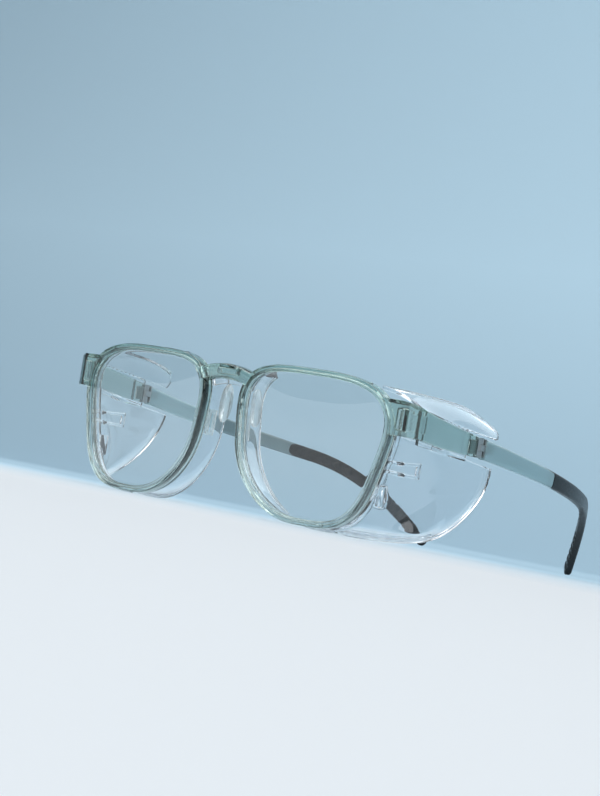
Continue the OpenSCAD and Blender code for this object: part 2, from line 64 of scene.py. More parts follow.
# ---------------------------------------------------------------- sizes, as in the CAD model
EYE_W, EYE_H, NOSE_GAP = 51.3, 42.7, 20.6
HALF_W, HALF_H = EYE_W / 2, EYE_H / 2
LENS_X = HALF_W + NOSE_GAP / 2
WRAP = math.radians(4.6)
TAPER_OUT, TAPER_IN = 0.22, 0.11
SQUARE = {(1, 1): 2.9, (1, -1): 4.1, (-1, 1): 3.9, (-1, -1): 2.1}    # (up, out) corner exponents
RIM_W, RIM_BACK = 2.1, 1.95
GROOVE = 1.05
LENS_HALF = 1.0
BRIDGE_Z, BRIDGE_H, BRIDGE_D = 16.4, 4.8, 3.8
BRIDGE_FRONT = -(LENS_X * math.sin(WRAP) + RIM_BACK - 0.6)
ARM_T, HINGE_OUT = 3.0, 4.8
HINGE_X = LENS_X + HALF_W * (1 + TAPER_OUT) + HINGE_OUT
HINGE_Y, HINGE_Z, HINGE_HALF = 34.2, 7.9, 3.1
ARM_OUT, ARM_IN = HINGE_X + ARM_T / 2, HINGE_X - ARM_T / 2
ARM_END = HINGE_Y - (ARM_T / 2 + 0.45)
TEMPLE_START = HINGE_Y + ARM_T / 2 + 0.55
REACH, INSET, DROP = 109.7, 40.2, 37.4
TIP_H = 4.1
SHIELD_T, SKIRT_D = 1.1, 8.4
SHELL_GAP, RING_T = 0.2, 1.4
SHIELD_REACH, FLAP_REACH = 43.6, 43.4

# The glasses stand tipped on skirts and temple tips: the hinge gives the tilt and the place
hinge = next(j for j in frame["joints"] if j["name"] == "fold_left")
TILT = math.atan2(-hinge["axis"][1], hinge["axis"][2])
TIP_MATRIX = np.array([[1, 0, 0],
                       [0, math.cos(TILT), -math.sin(TILT)],
                       [0, math.sin(TILT), math.cos(TILT)]])
OFFSET = np.array(hinge["pos_m"]) / MM - TIP_MATRIX @ [HINGE_X, HINGE_Y, HINGE_Z]


def to_row(points):
    return (np.asarray(points, float) @ TIP_MATRIX.T + OFFSET) * MM


# ---------------------------------------------------------------- outline of the lens opening
def signed_pow(v, p):
    return np.sign(v) * np.abs(v) ** p


def opening(angle, grow=0.0):
    """Points of the lens opening in the lens's own plane, (x, z), moved out by grow."""
    def raw(a):
        up = np.where(np.sin(a) >= 0, 1, -1)
        out = np.where(np.cos(a) >= 0, 1, -1)
        n = np.select([(up == k[0]) & (out == k[1]) for k in SQUARE], list(SQUARE.values()))
        z = HALF_H * signed_pow(np.sin(a), 2 / n)
        taper = np.where(out > 0, TAPER_OUT, TAPER_IN)
        x = HALF_W * signed_pow(np.cos(a), 2 / n) * (1 + taper * z / HALF_H)
        return np.stack([x, z], -1)
    angle = np.asarray(angle, float)
    step = math.radians(0.5)
    along = raw(angle + step) - raw(angle - step)
    normal = np.stack([along[..., 1], -along[..., 0]], -1)
    normal /= np.linalg.norm(normal, axis=-1, keepdims=True)
    return raw(angle) + np.asarray(grow)[..., None] * normal


def even_angles(start, end, count):
    """count + 1 angles from start to end, in degrees, evenly spaced along the outline."""
    a = np.radians(np.linspace(start, end, 4001))
    p = opening(a)
    length = np.concatenate([[0], np.cumsum(np.linalg.norm(np.diff(p, axis=0), axis=1))])
    return np.interp(np.linspace(0, length[-1], count + 1), length, a)


def lens_to_frame(x, y, z):
    return np.stack(np.broadcast_arrays(
        LENS_X + x * math.cos(WRAP) - y * math.sin(WRAP),
        x * math.sin(WRAP) + y * math.cos(WRAP), z), -1)


def round_corners(points, radius, steps=4):
    """A closed polygon of (u, v) points with its corners rounded off."""
    result = []
    count = len(points)
    pts = [np.array(p, float) for p in points]
    for i, p in enumerate(pts):
        r = radius[i] if hasattr(radius, "__len__") else radius
        before, after = pts[i - 1] - p, pts[(i + 1) % count] - p
        r = min(r, np.linalg.norm(before) * 0.49, np.linalg.norm(after) * 0.49)
        if r < 1e-6:
            result.append(p)
            continue
        a = p + before / np.linalg.norm(before) * r
        b = p + after / np.linalg.norm(after) * r
        for t in np.linspace(0, 1, steps + 1):
            result.append((1 - t) ** 2 * a + 2 * t * (1 - t) * p + t ** 2 * b)
    return np.array(result)


# ---------------------------------------------------------------- meshes
def grid_faces(rows, cols, wrap_rows, wrap_cols, first=0):
    j = np.arange(rows if wrap_rows else rows - 1)
    i = np.arange(cols if wrap_cols else cols - 1)
    jj, ii = np.meshgrid(j, i, indexing="ij")
    a = jj * cols + ii
    b = jj * cols + (ii + 1) % cols
    c = ((jj + 1) % rows) * cols + (ii + 1) % cols
    d = ((jj + 1) % rows) * cols + ii
    return (np.stack([a, b, c, d], -1).reshape(-1, 4) + first).tolist()


class Solid:
    """Points and faces of one piece, collected from several closed parts."""

    def __init__(self):
        self.points, self.faces = [], []

    def add(self, points, faces):
        first = len(self.points)
        self.points.extend(np.asarray(points, float).reshape(-1, 3).tolist())
        self.faces.extend([[v + first for v in f] for f in faces])
        return self

    def tube(self, rings, closed=False):
        """Rings of points (rows, cols, 3), each ring closed; ends are capped unless closed."""
        rings = np.asarray(rings, float)
        rows, cols = rings.shape[:2]
        faces = grid_faces(rows, cols, closed, True)
        if not closed:
            faces.append(list(range(cols))[::-1])
            faces.append([(rows - 1) * cols + i for i in range(cols)])
        return self.add(rings, faces)

    def sheet(self, grid, thickness):
        """Closed sheet round a grid of points, with a flat edge all the way round."""
        grid = np.asarray(grid, float)
        across = np.gradient(grid, axis=0)
        along = np.gradient(grid, axis=1)
        normal = np.cross(along, across)
        normal /= np.linalg.norm(normal, axis=-1, keepdims=True)
        half = np.asarray(thickness, float) / 2
        half = half[..., None] if half.ndim else half
        rows, cols = grid.shape[:2]
        front, back = grid + normal * half, grid - normal * half
        faces = grid_faces(rows, cols, False, False)
        faces += [f[::-1] for f in grid_faces(rows, cols, False, False, rows * cols)]
        border = ([(0, i) for i in range(cols - 1)] + [(j, cols - 1) for j in range(rows - 1)]
                  + [(rows - 1, i) for i in range(cols - 1, 0, -1)]
                  + [(j, 0) for j in range(rows - 1, 0, -1)])
        ids = [j * cols + i for j, i in border]
        for a, b in zip(ids, ids[1:] + ids[:1]):
            faces.append([b, a, a + rows * cols, b + rows * cols])
        return self.add(np.concatenate([front.reshape(-1, 3), back.reshape(-1, 3)]), faces)

    def block(self, low, high, radius=0.2):
        """A box with bevelled edges, built as a stack of rounded rectangles."""
        low, high = np.array(low, float), np.array(high, float)
        radius = min(radius, *(0.45 * (high - low)))
        rings = []
        for depth in np.linspace(0, math.pi / 2, 4):
            pull = radius * (1 - math.sin(depth))
            rings.append((low[2] + radius * (1 - math.cos(depth)), pull))
        rings += [(low[2] + high[2] - z, pull) for z, pull in rings[::-1]]
        loops = []
        for z, pull in rings:
            xs, ys = (low[0] + pull, high[0] - pull), (low[1] + pull, high[1] - pull)
            outline = round_corners([(xs[0], ys[0]), (xs[1], ys[0]), (xs[1], ys[1]), (xs[0], ys[1])],
                                    radius, 3)
            loops.append(np.column_stack([outline, np.full(len(outline), z)]))
        return self.tube(loops)

    def mirrored(self):
        other = Solid()
        points = np.array(self.points)
        points[:, 0] *= -1
        other.points = points.tolist()
        other.faces = [f[::-1] for f in self.faces]
        return other

    def both(self):
        twin = self.mirrored()
        return self.add(twin.points, twin.faces)

    def object(self, name):
        mesh = bpy.data.meshes.new(name)
        mesh.from_pydata(to_row(self.points).tolist(), [], self.faces)
        tidy_normals(mesh)
        made = bpy.data.objects.new(name, mesh)
        bpy.context.scene.collection.objects.link(made)
        return made


def tidy_normals(mesh):
    """Drops points that no face uses, and turns every face outwards."""
    mesh.validate()
    bm = bmesh.new()
    bm.from_mesh(mesh)
    bmesh.ops.delete(bm, geom=[v for v in bm.verts if not v.link_faces], context="VERTS")
    bmesh.ops.recalc_face_normals(bm, faces=bm.faces)
    bm.to_mesh(mesh)
    bm.free()
    mesh.update()


def apply_modifiers(obj):
    graph = bpy.context.evaluated_depsgraph_get()
    mesh = bpy.data.meshes.new_from_object(obj.evaluated_get(graph))
    obj.modifiers.clear()
    old = obj.data
    obj.data = mesh
    bpy.data.meshes.remove(old)
    mesh.name = obj.name


def cut(obj, *cutters):
    """Takes the cutters away from obj."""
    for solid in cutters:
        tool = solid.object("cutter")
        step = obj.modifiers.new("cut", "BOOLEAN")
        step.operation, step.solver, step.object = "DIFFERENCE", "EXACT", tool
        apply_modifiers(obj)
        bpy.data.objects.remove(tool)
    return obj


def join(name, objects):
    """One object from several, with their meshes put together."""
    points, faces = [], []
    for o in objects:
        first = len(points)
        points.extend([v.co[:] for v in o.data.vertices])
        faces.extend([[v + first for v in p.vertices] for p in o.data.polygons])
        bpy.data.objects.remove(o)
    mesh = bpy.data.meshes.new(name)
    mesh.from_pydata(points, [], faces)
    mesh.update()
    made = bpy.data.objects.new(name, mesh)
    bpy.context.scene.collection.objects.link(made)
    return made


def moulded(obj, voxel, smooth):
    """Fuses overlapping parts into one skin and rounds its edges, as a moulding's are."""
    step = obj.modifiers.new("fuse", "REMESH")
    step.mode, step.voxel_size, step.use_smooth_shade = "VOXEL", voxel * MM, True
    step = obj.modifiers.new("soften", "SMOOTH")
    step.factor, step.iterations = 0.5, smooth
    apply_modifiers(obj)
    smooth_shade(obj)
    return obj


def smooth_shade(obj):
    obj.data.polygons.foreach_set("use_smooth", [True] * len(obj.data.polygons))
    obj.data.update()


# ---------------------------------------------------------------- front frame
def rim_solid():
    """Rim round the opening: rounded section with a groove for the lens."""
    section = round_corners([
        (0, -RIM_BACK), (0, -LENS_HALF - 0.12), (GROOVE, -LENS_HALF - 0.12),
        (GROOVE, LENS_HALF + 0.12), (0, LENS_HALF + 0.12), (0, RIM_BACK),
        (RIM_W, RIM_BACK), (RIM_W, -RIM_BACK)],
        [0.25, 0.05, 0.05, 0.05, 0.05, 0.25, 0.55, 0.55])
    angles = even_angles(0, 360, 260)[:-1]
    rings = []
    for g, y in section:
        p = opening(angles, np.full(len(angles), g))
        rings.append(lens_to_frame(p[:, 0], y, p[:, 1]))
    return Solid().tube(np.stack(rings, 1), closed=True)


def prism(grow, low, high, count=200):
    """The opening as a solid plug, for cutting."""
    p = opening(even_angles(0, 360, count)[:-1], np.full(count, grow))
    return Solid().tube([lens_to_frame(p[:, 0], y, p[:, 1]) for y in (low, high)])


LATCH_X, LATCH_W = ARM_IN - 3.2, 1.8
LATCH_Z, LATCH_H = HINGE_Z + 1.4, 6.2
LATCH_FRONT, LATCH_BACK = 2.2, 9.4


def arm_solid():
    """Endpiece and arm, as sections from inside the rim, round the corner, to the hinge."""
    slope = math.tan(WRAP)
    front = lambda x: slope * (x - LENS_X) - RIM_BACK
    rear = lambda x: slope * (x - LENS_X) + RIM_BACK
    step_in = 0.4
    stations = [
        ((57, front(57)), (57, rear(57))),
        ((62, front(62)), (62, rear(62))),
        ((66.4, front(66.4)), (66.4, rear(66.4))),
        ((68.4, front(68.4) + 0.1), (68.0, rear(68.0))),
        ((70.4, 2.0), (ARM_IN - 1.6, rear(ARM_IN - 1.6))),
        ((72.3, 3.4), (ARM_IN - 1.1, 5.6)),
        ((73.3, 4.25), (ARM_IN - 0.6, 6.6)),
        ((ARM_OUT, 5.0), (ARM_IN - 0.2, 7.6)),
        ((ARM_OUT, 7.0), (ARM_IN, 8.5)),
        ((ARM_OUT, 9.2), (ARM_IN, 9.4)),
        ((ARM_OUT - step_in, 12.4), (ARM_IN, 12.4)),
        ((ARM_OUT - step_in, 17), (ARM_IN, 17)),
        ((ARM_OUT - step_in, 23), (ARM_IN, 23)),
        ((ARM_OUT - step_in, ARM_END - 4.6), (ARM_IN, ARM_END - 4.6)),
        ((ARM_OUT, ARM_END - 3.0), (ARM_IN, ARM_END - 3.0)),
        ((ARM_OUT, ARM_END), (ARM_IN, ARM_END))]
    top, low = HINGE_Z + HINGE_HALF, HINGE_Z - HINGE_HALF
    side_top = ([-5, 2, 6, 12, ARM_END], [top + 8, top + 6.8, top + 5.1, top + 3.8, top])
    side_low = ([-5, 6, 13, 23, ARM_END], [low + 3.1, low + 2.5, low + 1.5, low + 0.6, low])
    face_top = ([57, 62.3, 68.3, 74.6], [top + 9.3, top + 8.4, top + 7, top + 6])

    def heights(p):
        z1 = min(np.interp(p[1], *side_top), np.interp(p[0], *face_top))
        return np.interp(p[1], *side_low), z1
    rings = []
    for outer, inner in stations:
        (lo, ho), (li, hi) = heights(outer), heights(inner)
        rings.append([(*outer, lo), (*outer, ho), (*inner, hi), (*inner, li)])
    return Solid().tube(rings)


def bridge_solid():
    half = NOSE_GAP / 2 + 4
    rings = []
    for x in np.linspace(-half, half, 41):
        low = BRIDGE_Z - 3.2 * (abs(x) / half) ** 2.2
        high = BRIDGE_Z + BRIDGE_H - 3 * (abs(x) / half) ** 1.8
        back = BRIDGE_FRONT + BRIDGE_D
        section = round_corners([(BRIDGE_FRONT, low), (back, low), (back, high),
                                 (BRIDGE_FRONT, high)], [1.1, 0.5, 0.5, 1.3], 5)
        rings.append([(x, y, z) for y, z in section])
    return Solid().tube(rings)


def build_front():
    plug = prism(0, -9, 9)
    slot_ring = prism(GROOVE, -LENS_HALF - 0.12, LENS_HALF + 0.12)
    latch = Solid().block((LATCH_X - LATCH_W / 2 - 0.3, LATCH_FRONT - 0.2, LATCH_Z - 0.3),
                          (LATCH_X + LATCH_W / 2 + 0.3, 14, LATCH_Z + LATCH_H + 0.3), 0.5)
    tang = Solid().block((HINGE_X - 0.65, ARM_END - 3.05, HINGE_Z - 2.15),
                         (HINGE_X + 0.65, ARM_END + 1, HINGE_Z + 2.15), 0.1)
    lug = Solid().block((-4.05, BRIDGE_FRONT + BRIDGE_D * 0.55 - 0.05, BRIDGE_Z + BRIDGE_H / 2 - 0.95),
                        (4.05, 3, BRIDGE_Z + BRIDGE_H / 2 + 0.95), 0.15)
    parts = []
    for turn in (lambda s: s, lambda s: s.mirrored()):
        arm = turn(arm_solid()).object("arm")
        parts.append(cut(arm, turn(plug), turn(slot_ring), turn(latch), turn(tang)))
        parts.append(turn(rim_solid()).object("rim"))
    bridge = bridge_solid().object("bridge")
    parts.append(cut(bridge, plug, plug.mirrored(), slot_ring, slot_ring.mirrored(), lug))
    # moulding marks on the top of each rim
    marks = Solid()
    for angle in (62, 108):
        p = opening(np.radians([angle]), np.array([RIM_W - 0.15]))[0]
        x, y, z = lens_to_frame(p[0], -0.4, p[1])
        marks.block((x - 0.8, y - 0.5, z - 0.35), (x + 0.8, y + 0.5, z + 0.35), 0.25)
    parts.append(marks.both().object("marks"))
    return moulded(join("front_frame_visual", parts), 0.17, 3)


# ---------------------------------------------------------------- lenses
def lens_solid():
    angles = even_angles(0, 360, 200)[:-1]
    rim = opening(angles, np.full(len(angles), 0.8))
    rise = 0.35
    rings = []
    for share in np.concatenate([np.linspace(0.04, 0.98, 20), [1.0]]):
        y = -LENS_HALF - rise * (1 - share ** 2) + (0.1 if share == 1.0 else 0)
        rings.append(lens_to_frame(rim[:, 0] * share, y, rim[:, 1] * share))
    for share in np.concatenate([[1.0], np.linspace(0.98, 0.04, 20)]):
        y = LENS_HALF - rise * (1 - share ** 2) - (0.1 if share == 1.0 else 0)
        rings.append(lens_to_frame(rim[:, 0] * share, y, rim[:, 1] * share))
    return Solid().tube(rings)


# ---------------------------------------------------------------- shroud behind the rims
SKIRT_IN, SKIRT_FLARE, SKIRT_DROP = 0.2, 0.3, 1.4
SKIRT_LOW = -(HALF_H + SKIRT_IN + SKIRT_FLARE + SKIRT_DROP + SHIELD_T)


def rear_grow(a):
    return SKIRT_IN + SKIRT_FLARE + SKIRT_DROP * np.maximum(0, -np.sin(a)) ** 4


def skirt_solid():
    a = even_angles(130, 280, 110)
    front, rear = RIM_BACK + SHELL_GAP + 0.1, RIM_BACK + SKIRT_D
    sides = []
    for v in np.linspace(0, 1, 10):
        grow = SKIRT_IN + SHIELD_T / 2 + (rear_grow(a) - SKIRT_IN) * v ** 1.2
        p = opening(a, grow)
        sides.append(lens_to_frame(p[:, 0], front + (rear - 0.55 - front) * v, p[:, 1]))
    grid = np.stack(sides, 1)
    thick = SHIELD_T + 0.35 * np.linspace(0, 1, 10)[None, :] ** 6 * np.ones((len(a), 1))
    return Solid().sheet(grid, thick)


def ring_solid():
    section = round_corners([(SKIRT_IN, 0), (SKIRT_IN + SHIELD_T, 0),
                             (SKIRT_IN + SHIELD_T, RING_T), (SKIRT_IN, RING_T)], 0.3, 3)
    angles = even_angles(0, 360, 240)[:-1]
    rings = []
    for g, y in section:
        p = opening(angles, np.full(len(angles), g))
        rings.append(lens_to_frame(p[:, 0], RIM_BACK + SHELL_GAP + y, p[:, 1]))
    return Solid().tube(np.stack(rings, 1), closed=True)


def build_shroud():
    eye = skirt_solid()
    ring = ring_solid()
    eye.add(ring.points, ring.faces)
    strap_half = NOSE_GAP / 2 + 1.6
    y0 = lens_to_frame(-HALF_W, RIM_BACK + SHELL_GAP, 0)[1] + 0.3
    rings = []
    for x in np.linspace(-strap_half, strap_half, 31):
        low = BRIDGE_Z - 1.4 - 2.6 * (abs(x) / strap_half) ** 2.2
        high = BRIDGE_Z + BRIDGE_H - 1 - 1.6 * (abs(x) / strap_half) ** 1.8
        section = round_corners([(y0, low), (y0 + SHIELD_T, low),
                                 (y0 + SHIELD_T, high), (y0, high)], 0.3, 3)
        rings.append([(x, y, z) for y, z in section])
    strap = Solid().tube(rings).object("strap")
    opening_plug = prism(SKIRT_IN + 0.2, -4, 14)
    cut(strap, opening_plug, opening_plug.mirrored())
    lug = Solid().block((-4, BRIDGE_FRONT + BRIDGE_D * 0.55, BRIDGE_Z + BRIDGE_H / 2 - 0.9),
                        (4, y0 + 0.5, BRIDGE_Z + BRIDGE_H / 2 + 0.9), 0.2)
    parts = [eye.both().object("eyes"), strap, lug.object("lug")]
    return moulded(join("inner_shroud_visual", parts), 0.22, 2)


# ---------------------------------------------------------------- side shields
WEB_X = ARM_IN - SHELL_GAP - SHIELD_T / 2
WEB_FRONT, WEB_END = LATCH_BACK - 0.2, ARM_END - 0.8
SWING_TOP = HINGE_Z + HINGE_HALF + 0.5 + SHIELD_T / 2
SWING_LOW = HINGE_Z - HINGE_HALF - 0.5 - SHIELD_T / 2
PANEL_DEPTH = RIM_BACK + SHELL_GAP + RING_T + 0.8
PANEL_TOP = SWING_LOW - 0.166 * (SHIELD_REACH - HINGE_Y) - 0.2
PANEL_SIDE_X = WEB_X + 1.2
WEB_RISE = 7.8                   # of the web's front top corner over the hinge's middle
CATCH_L, CATCH_T, CATCH_LOW = 14.5, 1.1, -3.8


def panel_grid(rows, cols):
    """Lower panel: s runs down and round from the arm to the skirt, u back from the rim."""
    s = np.linspace(0, 1, rows)[:, None]
    u = np.linspace(0, 1, cols)[None, :]
    p = opening(np.radians(13 - 90 * s[:, 0]), np.full(rows, 1.7))
    a = lens_to_frame(p[:, 0], PANEL_DEPTH, p[:, 1])[:, None, :]
    end_x = a[-1, 0, 0]
    power = 2 / 1.68
    back, down = np.cos(math.pi / 2 * s) ** power, np.sin(math.pi / 2 * s) ** power
    edge_y = RIM_BACK + SKIRT_D
    b = np.concatenate([
        PANEL_SIDE_X - 0.8 * (1 - np.minimum(1, s * 4)) - (PANEL_SIDE_X - end_x - 1) * (1 - back) ** 6,
        edge_y + (SHIELD_REACH - edge_y) * back,
        PANEL_TOP + (SKIRT_LOW + SHIELD_T / 2 - PANEL_TOP) * down], 1)[:, None, :]
    lead = np.sin(math.pi / 2 * np.minimum(1, u * (1.8 - 0.8 * s)))
    grid = a + (b - a) * u[..., None]
    grid[..., 0] = a[..., 0] + (b[..., 0] - a[..., 0]) * lead
    return grid


def flap_grid(rows, cols):
    """Top flap: v runs up from the arm to the free edge, u back from the brow."""
    v = np.linspace(0, 1, rows)[:, None]
    u = np.linspace(0, 1, cols)[None, :]
    y = WEB_FRONT + (FLAP_REACH - WEB_FRONT) * u
    behind = np.maximum(0, y - HINGE_Y)
    base = np.stack([WEB_X + 1.8 * u ** 3, y,
                     np.maximum(HINGE_Z + WEB_RISE - 5 * u, SWING_TOP - 0.12 * behind)], -1)
    edge = np.stack([WEB_X - 13.6 + 11 * (1 - (1 - u) ** 3.6),
                     PANEL_DEPTH + 0.6 + (FLAP_REACH - 3.6 - PANEL_DEPTH) * u,
                     HALF_H - 0.4 - 2 * u - 3 * u ** 5], -1)
    swell = np.sin(math.pi * v)
    grid = base + (edge - base) * v[..., None]
    grid[..., 0] += 0.8 * swell
    grid[..., 1] += 1.8 * swell * u ** 4
    grid[..., 2] += 0.8 * swell * (1 - u)
    return grid


def side_x(z):
    """X just outside the rim's outer side at height z."""
    power = 3.9
    side = HALF_W * (1 + TAPER_OUT * z / HALF_H) * (1 - (abs(z) / HALF_H) ** power) ** (1 / power)
    return LENS_X + 1.8 + side


def build_shield(name, left):
    rows, cols = 70, 60
    panel = panel_grid(rows, cols)
    u = np.linspace(0, 1, cols)[None, :] * np.ones((rows, 1))
    solid = Solid().sheet(panel, SHIELD_T + 0.7 * u ** 14)
    flap = flap_grid(30, 60)
    v = np.linspace(0, 1, 30)[:, None] * np.ones((1, 60))
    solid.sheet(flap, SHIELD_T + 0.35 * v ** 12)
    low_front, low_back = panel[0, 9][2] - 1, panel[0, 38][2] - 0.6
    profile = [(WEB_FRONT - 1, low_front), (WEB_END, low_back),
               (WEB_END, SWING_TOP), (WEB_FRONT - 1, HINGE_Z + WEB_RISE)]
    solid.tube([[(x, y, z) for y, z in profile] for x in (WEB_X - SHIELD_T / 2, WEB_X + SHIELD_T / 2)])
    # flange behind the rim
    a = even_angles(-73, 19, 60)
    rings = []
    for grow, y in ((1.5, RIM_BACK + SHELL_GAP), (2.4, RIM_BACK + SHELL_GAP),
                    (2.4, PANEL_DEPTH + 0.4), (1.5, PANEL_DEPTH + 0.4)):
        p = opening(a, np.full(len(a), grow))
        rings.append(lens_to_frame(p[:, 0], y, p[:, 1]))
    solid.tube(np.stack(rings, 1))
    # square tab, forked catch and the lug that goes into the corner
    x, y = side_x(-10.75) + 0.6, PANEL_DEPTH + 1.4
    solid.block((x - 1.6, y, -14), (x + 0.2, y + 3.6, -7.5), 0.3)
    x, y = side_x(0) - 0.4, PANEL_DEPTH + 0.1
    for z, spread in ((-3.3, -0.5), (-0.5, 0.5)):
        rings = []
        for t in np.linspace(0, 1, 12):
            half, mid = 0.34 + 0.2 * t, z + spread * t
            section = round_corners([(x, mid - half), (x + CATCH_T, mid - half),
                                     (x + CATCH_T, mid + half), (x, mid + half)], 0.25, 3)
            rings.append([(px, y + CATCH_L * t, pz) for px, pz in section])
        solid.tube(rings)
    solid.block((x, y + CATCH_L - 1.4, CATCH_LOW), (x + CATCH_T, y + CATCH_L, 0), 0.3)
    solid.block((LATCH_X - LATCH_W / 2, LATCH_FRONT, LATCH_Z),
                (LATCH_X + LATCH_W / 2, LATCH_BACK, LATCH_Z + LATCH_H), 0.25)
    solid.block((LATCH_X - LATCH_W / 2, LATCH_BACK - 1.2, LATCH_Z),
                (WEB_X + SHIELD_T / 2, LATCH_BACK, LATCH_Z + LATCH_H - 1), 0.2)
    made = (solid if left else solid.mirrored()).object(name)
    return moulded(made, 0.22, 2)


# ---------------------------------------------------------------- nose pads
def build_pad(name, left):
    """Soft pad: a domed oval cushion, flat on the skirt side."""
    height, depth, thick, tilt = 12, 4.6, 1.4, math.radians(-4)
    z0, y0 = 9, RIM_BACK + SKIRT_D * 0.72
    x0 = -HALF_W * (1 + TAPER_IN * z0 / HALF_H) * (1 - (z0 / HALF_H) ** 4.1) ** (1 / 4.1)
    x0 -= SKIRT_IN + SKIRT_FLARE + SHIELD_T + 0.1
    rings = []
    profile = [(0, 0.97), (0.15, 1.0), (0.45, 1.0), (0.7, 0.95),
               (0.86, 0.82), (0.96, 0.6), (1.0, 0.3), (1.01, 0.03)]
    turn = np.linspace(0, 2 * math.pi, 49)[:-1]
    for out, size in profile:
        oval_z = signed_pow(np.sin(turn), 0.9) * height / 2 * size
        oval_y = signed_pow(np.cos(turn), 0.9) * depth / 2 * size
        x = np.full_like(turn, -out * thick)
        rings.append(lens_to_frame(x0 + x * math.cos(tilt) + oval_z * math.sin(tilt), y0 + oval_y,
                                   z0 - x * math.sin(tilt) + oval_z * math.cos(tilt)))
    solid = Solid().tube(rings)
    made = (solid if left else solid.mirrored()).object(name)
    smooth_shade(made)
    return made


# ---------------------------------------------------------------- temples
SPLAY = 0.14


def temple_line(y):
    share = np.maximum(y, 0) / REACH
    ear = np.maximum(0, (y / REACH - 0.66) / 0.34)
    x = HINGE_X + SPLAY * y - (INSET + SPLAY * REACH) * share ** 2.24
    z = HINGE_Z - 0.166 * y - (DROP - 0.166 * REACH) * ear ** 2.34
    return np.stack([x, HINGE_Y + y, z], -1)


def temple_surface(y, phi, inset=0.0):
    """Point on the temple's skin at y behind the hinge and angle phi round its section."""
    y, phi = np.broadcast_arrays(np.asarray(y, float), np.asarray(phi, float))
    ahead = temple_line(y + 0.5) - temple_line(np.maximum(y - 0.5, 0))
    ahead /= np.linalg.norm(ahead, axis=-1, keepdims=True)
    side = np.cross(ahead, [0, 0, 1])
    side /= np.linalg.norm(side, axis=-1, keepdims=True)
    up = np.cross(side, ahead)
    w = ARM_T - 0.4 * np.minimum(1, y / 30)
    h = TIP_H + (2 * HINGE_HALF - TIP_H) * (1 - y / REACH) ** 2
    end = np.clip((REACH - y) / 1.3, 0, 1)
    end = np.sqrt(1 - (1 - end) ** 2 * 0.9)
    across = signed_pow(np.cos(phi), 0.42) * (w / 2 - inset) * end
    rise = signed_pow(np.sin(phi), 0.42) * (h / 2 - inset) * end
    return temple_line(y) + side * across[..., None] + up * rise[..., None]


def sleeve_start(phi):
    """Where the rubber starts: early on top and underneath, a pointed tongue outside,
    and far back on the inner face."""
    outside = np.clip(np.cos(phi) * 1.6, -1, 1)
    top = np.maximum(0, np.sin(phi))
    share_out = 0.345 - 0.075 * top ** 6
    share_in = 0.60 + 0.03 * np.abs(np.sin(phi)) ** 2
    mix = 0.5 - 0.5 * np.tanh((outside + 0.25) * 3.2)
    return REACH * (share_out * (1 - mix) + share_in * mix)


def build_temple(name, left):
    """Teal part: full section at the hinge, and thinned where the rubber covers it."""
    phi = np.linspace(0, 2 * math.pi, 65)[:-1] + math.pi / 64
    first = TEMPLE_START - HINGE_Y + 0.05
    rows = np.linspace(first - 0.6, REACH - 3, 230)[:, None]
    start = sleeve_start(phi)[None, :]
    inset = 0.42 * np.clip((rows - start + 0.1) / 0.25, 0, 1) * np.ones_like(rows)
    points = temple_surface(rows, phi[None, :], inset)
    solid = Solid().tube(points)
    made = (solid if left else solid.mirrored()).object(name)
    face = Solid().block((HINGE_X - 4, HINGE_Y - 2, HINGE_Z - 6),
                         (HINGE_X + 4, TEMPLE_START, HINGE_Z + 6), 0.01)
    tang = Solid().block((HINGE_X - 0.65, TEMPLE_START - 1, HINGE_Z - 1.45),
                         (HINGE_X + 0.65, TEMPLE_START + 4.05, HINGE_Z + 1.25), 0.05)
    for tool in (face, tang):
        cut(made, tool if left else tool.mirrored())
    smooth_shade(made)
    return made


def grip_depth(y, phi):
    """Crossed grooves on the inner face and scallops inside the tip."""
    inner = np.clip((-np.cos(phi) - 0.35) * 4, 0, 1)
    h = TIP_H / 2
    z = signed_pow(np.sin(phi), 0.42) * h
    pitch = 3.9
    a = (y + z * 1.1) / pitch
    b = (y - z * 1.1) / pitch
    groove = lambda t: np.clip(1.25 - np.abs((t - np.floor(t)) - 0.5) * 6, 0, 1)
    field = np.clip((y - 0.615 * REACH) / 1.0, 0, 1) * np.clip((0.80 * REACH - y) / 1.0, 0, 1)
    crossed = np.maximum(groove(a), groove(b)) * field * 0.3
    tip = np.clip((y - 0.86 * REACH) / 1.0, 0, 1) * np.clip((REACH - 1.5 - y) / 1.0, 0, 1)
    wave = np.clip(np.sin((y - 0.86 * REACH) / 2.05 * 2 * math.pi) * 1.3, -0.2, 1)
    return inner * (crossed + np.maximum(0, wave) * tip * 0.34)


def build_sleeve(name, left):
    phi = np.linspace(0, 2 * math.pi, 97)[:-1] + math.pi / 96
    start = sleeve_start(phi)[None, :]
    v = np.linspace(0, 1, 330)[:, None]
    y = start + (REACH - start) * v
    outer = temple_surface(y, phi[None, :], grip_depth(y, phi[None, :]) - 0.03)
    inner = temple_surface(np.minimum(y + 0.05, REACH - 2.8), phi[None, :], 0.44 + 0 * y)
    rows, cols = y.shape
    solid = Solid()
    count = rows * cols
    faces = grid_faces(rows, cols, False, True)
    faces += [f[::-1] for f in grid_faces(rows - 6, cols, False, True, count)]
    lip = [[i, count + i, count + (i + 1) % cols, (i + 1) % cols] for i in range(cols)]
    last = (rows - 1) * cols
    end_cap = [last + i for i in range(cols)]
    inner_last = count + (rows - 7) * cols
    inner_cap = [inner_last + i for i in range(cols)][::-1]
    solid.add(np.concatenate([outer.reshape(-1, 3), inner.reshape(-1, 3)]),
              faces + lip + [end_cap, inner_cap])
    made = (solid if left else solid.mirrored()).object(name)
    smooth_shade(made)
    return made


